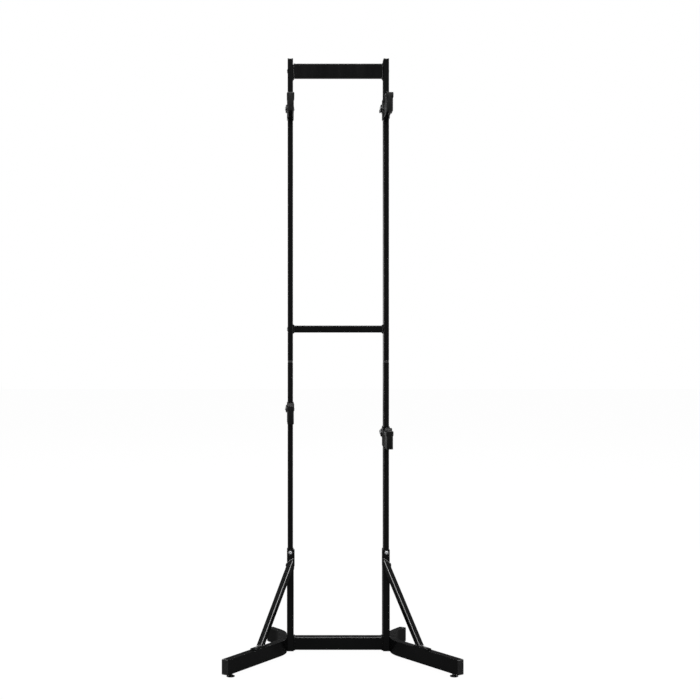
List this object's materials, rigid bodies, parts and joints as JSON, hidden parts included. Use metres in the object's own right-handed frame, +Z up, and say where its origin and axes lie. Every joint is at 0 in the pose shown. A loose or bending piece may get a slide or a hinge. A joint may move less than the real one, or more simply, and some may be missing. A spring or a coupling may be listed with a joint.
{
  "type": "bike storage tower",
  "caption": "Free-standing bike storage tower: spliced posts on splayed, braced legs, with clamped cradle arms that slide up and down to hold bikes one above the other.",
  "frame": {"origin": "on the floor, under the middle of the footprint", "axes": "+Z up, -Y towards the front, where the cradles reach, +X to the right seen from the front"},
  "size_m": [0.7944, 0.4982, 2.111],
  "materials": {
    "powder_coat": "black satin powder coat",
    "powder_coat_dark": "black satin powder coat, lower posts",
    "joiner_steel": "dark phosphated steel",
    "zinc": "zinc plate",
    "black_steel": "black zinc plate, side bolts",
    "moulded_plastic": "moulded black plastic",
    "rubber": "soft matt black rubber"
  },
  "bodies": {
    "stand": {"left_leg": "powder_coat", "left_socket": "powder_coat", "left_brace": "powder_coat", "left_lower_post": "powder_coat_dark", "left_upper_post": "powder_coat", "left_post_joiner": "joiner_steel", "left_post_cap": "moulded_plastic", "left_front_leg_cap": "moulded_plastic", "left_rear_leg_cap": "moulded_plastic", "left_front_foot_nut": "zinc", "left_rear_foot_nut": "zinc", "left_base_bolt": "black_steel", "left_mid_crossbar_bolt": "black_steel", "left_header_bolt": "black_steel", "left_brace_top_bolt": "zinc", "left_brace_foot_bolt": "zinc", "right_leg": "powder_coat", "right_socket": "powder_coat", "right_brace": "powder_coat", "right_lower_post": "powder_coat_dark", "right_upper_post": "powder_coat", "right_post_joiner": "joiner_steel", "right_post_cap": "moulded_plastic", "right_front_leg_cap": "moulded_plastic", "right_rear_leg_cap": "moulded_plastic", "right_front_foot_nut": "zinc", "right_rear_foot_nut": "zinc", "right_base_bolt": "black_steel", "right_mid_crossbar_bolt": "black_steel", "right_header_bolt": "black_steel", "right_brace_top_bolt": "zinc", "right_brace_foot_bolt": "zinc", "base_crossbar": "powder_coat", "mid_crossbar": "powder_coat", "header_panel": "powder_coat"},
    "upper_left_carriage": {"upper_left_arm": "powder_coat", "upper_left_cradle": "rubber", "upper_left_clamp_bolt": "zinc", "upper_left_clamp_nut": "zinc"},
    "upper_left_lever": {"upper_left_clamp_lever": "moulded_plastic"},
    "upper_right_carriage": {"upper_right_arm": "powder_coat", "upper_right_cradle": "rubber", "upper_right_clamp_bolt": "zinc", "upper_right_clamp_nut": "zinc"},
    "upper_right_lever": {"upper_right_clamp_lever": "moulded_plastic"},
    "lower_left_carriage": {"lower_left_arm": "powder_coat", "lower_left_cradle": "rubber", "lower_left_clamp_bolt": "zinc", "lower_left_clamp_nut": "zinc"},
    "lower_left_lever": {"lower_left_clamp_lever": "moulded_plastic"},
    "lower_right_carriage": {"lower_right_arm": "powder_coat", "lower_right_cradle": "rubber", "lower_right_clamp_bolt": "zinc", "lower_right_clamp_nut": "zinc"},
    "lower_right_lever": {"lower_right_clamp_lever": "moulded_plastic"},
    "left_front_foot": {"left_front_foot": "moulded_plastic"},
    "left_rear_foot": {"left_rear_foot": "moulded_plastic"},
    "right_front_foot": {"right_front_foot": "moulded_plastic"},
    "right_rear_foot": {"right_rear_foot": "moulded_plastic"}
  },
  "joints": [
    {"name": "upper_left_arm_slide", "type": "slide", "parent": "stand", "child": "upper_left_carriage", "axis": [0, 0, 1], "range_m": [-0.7285, 0.0694]},
    {"name": "upper_left_lever_turn", "type": "hinge", "parent": "upper_left_carriage", "child": "upper_left_lever", "pos_m": [-0.1841, 0.14162, 1.944], "axis": [1, 0, 0], "range_deg": [0, 100]},
    {"name": "upper_right_arm_slide", "type": "slide", "parent": "stand", "child": "upper_right_carriage", "axis": [0, 0, 1], "range_m": [-0.7285, 0.0694]},
    {"name": "upper_right_lever_turn", "type": "hinge", "parent": "upper_right_carriage", "child": "upper_right_lever", "pos_m": [0.1559, 0.14162, 1.944], "axis": [1, 0, 0], "range_deg": [0, 100]},
    {"name": "lower_left_arm_slide", "type": "slide", "parent": "stand", "child": "lower_left_carriage", "axis": [0, 0, 1], "range_m": [-0.45, 0.2414]},
    {"name": "lower_left_lever_turn", "type": "hinge", "parent": "lower_left_carriage", "child": "lower_left_lever", "pos_m": [-0.1841, 0.14162, 0.868], "axis": [1, 0, 0], "range_deg": [0, 100]},
    {"name": "lower_right_arm_slide", "type": "slide", "parent": "stand", "child": "lower_right_carriage", "axis": [0, 0, 1], "range_m": [-0.364, 0.3274]},
    {"name": "lower_right_lever_turn", "type": "hinge", "parent": "lower_right_carriage", "child": "lower_right_lever", "pos_m": [0.1559, 0.14162, 0.782], "axis": [1, 0, 0], "range_deg": [0, 100]},
    {"name": "left_front_foot_screw", "type": "slide", "parent": "stand", "child": "left_front_foot", "axis": [0, 0, -1], "range_m": [0, 0.01]},
    {"name": "left_rear_foot_screw", "type": "slide", "parent": "stand", "child": "left_rear_foot", "axis": [0, 0, -1], "range_m": [0, 0.01]},
    {"name": "right_front_foot_screw", "type": "slide", "parent": "stand", "child": "right_front_foot", "axis": [0, 0, -1], "range_m": [0, 0.01]},
    {"name": "right_rear_foot_screw", "type": "slide", "parent": "stand", "child": "right_rear_foot", "axis": [0, 0, -1], "range_m": [0, 0.01]}
  ]
}
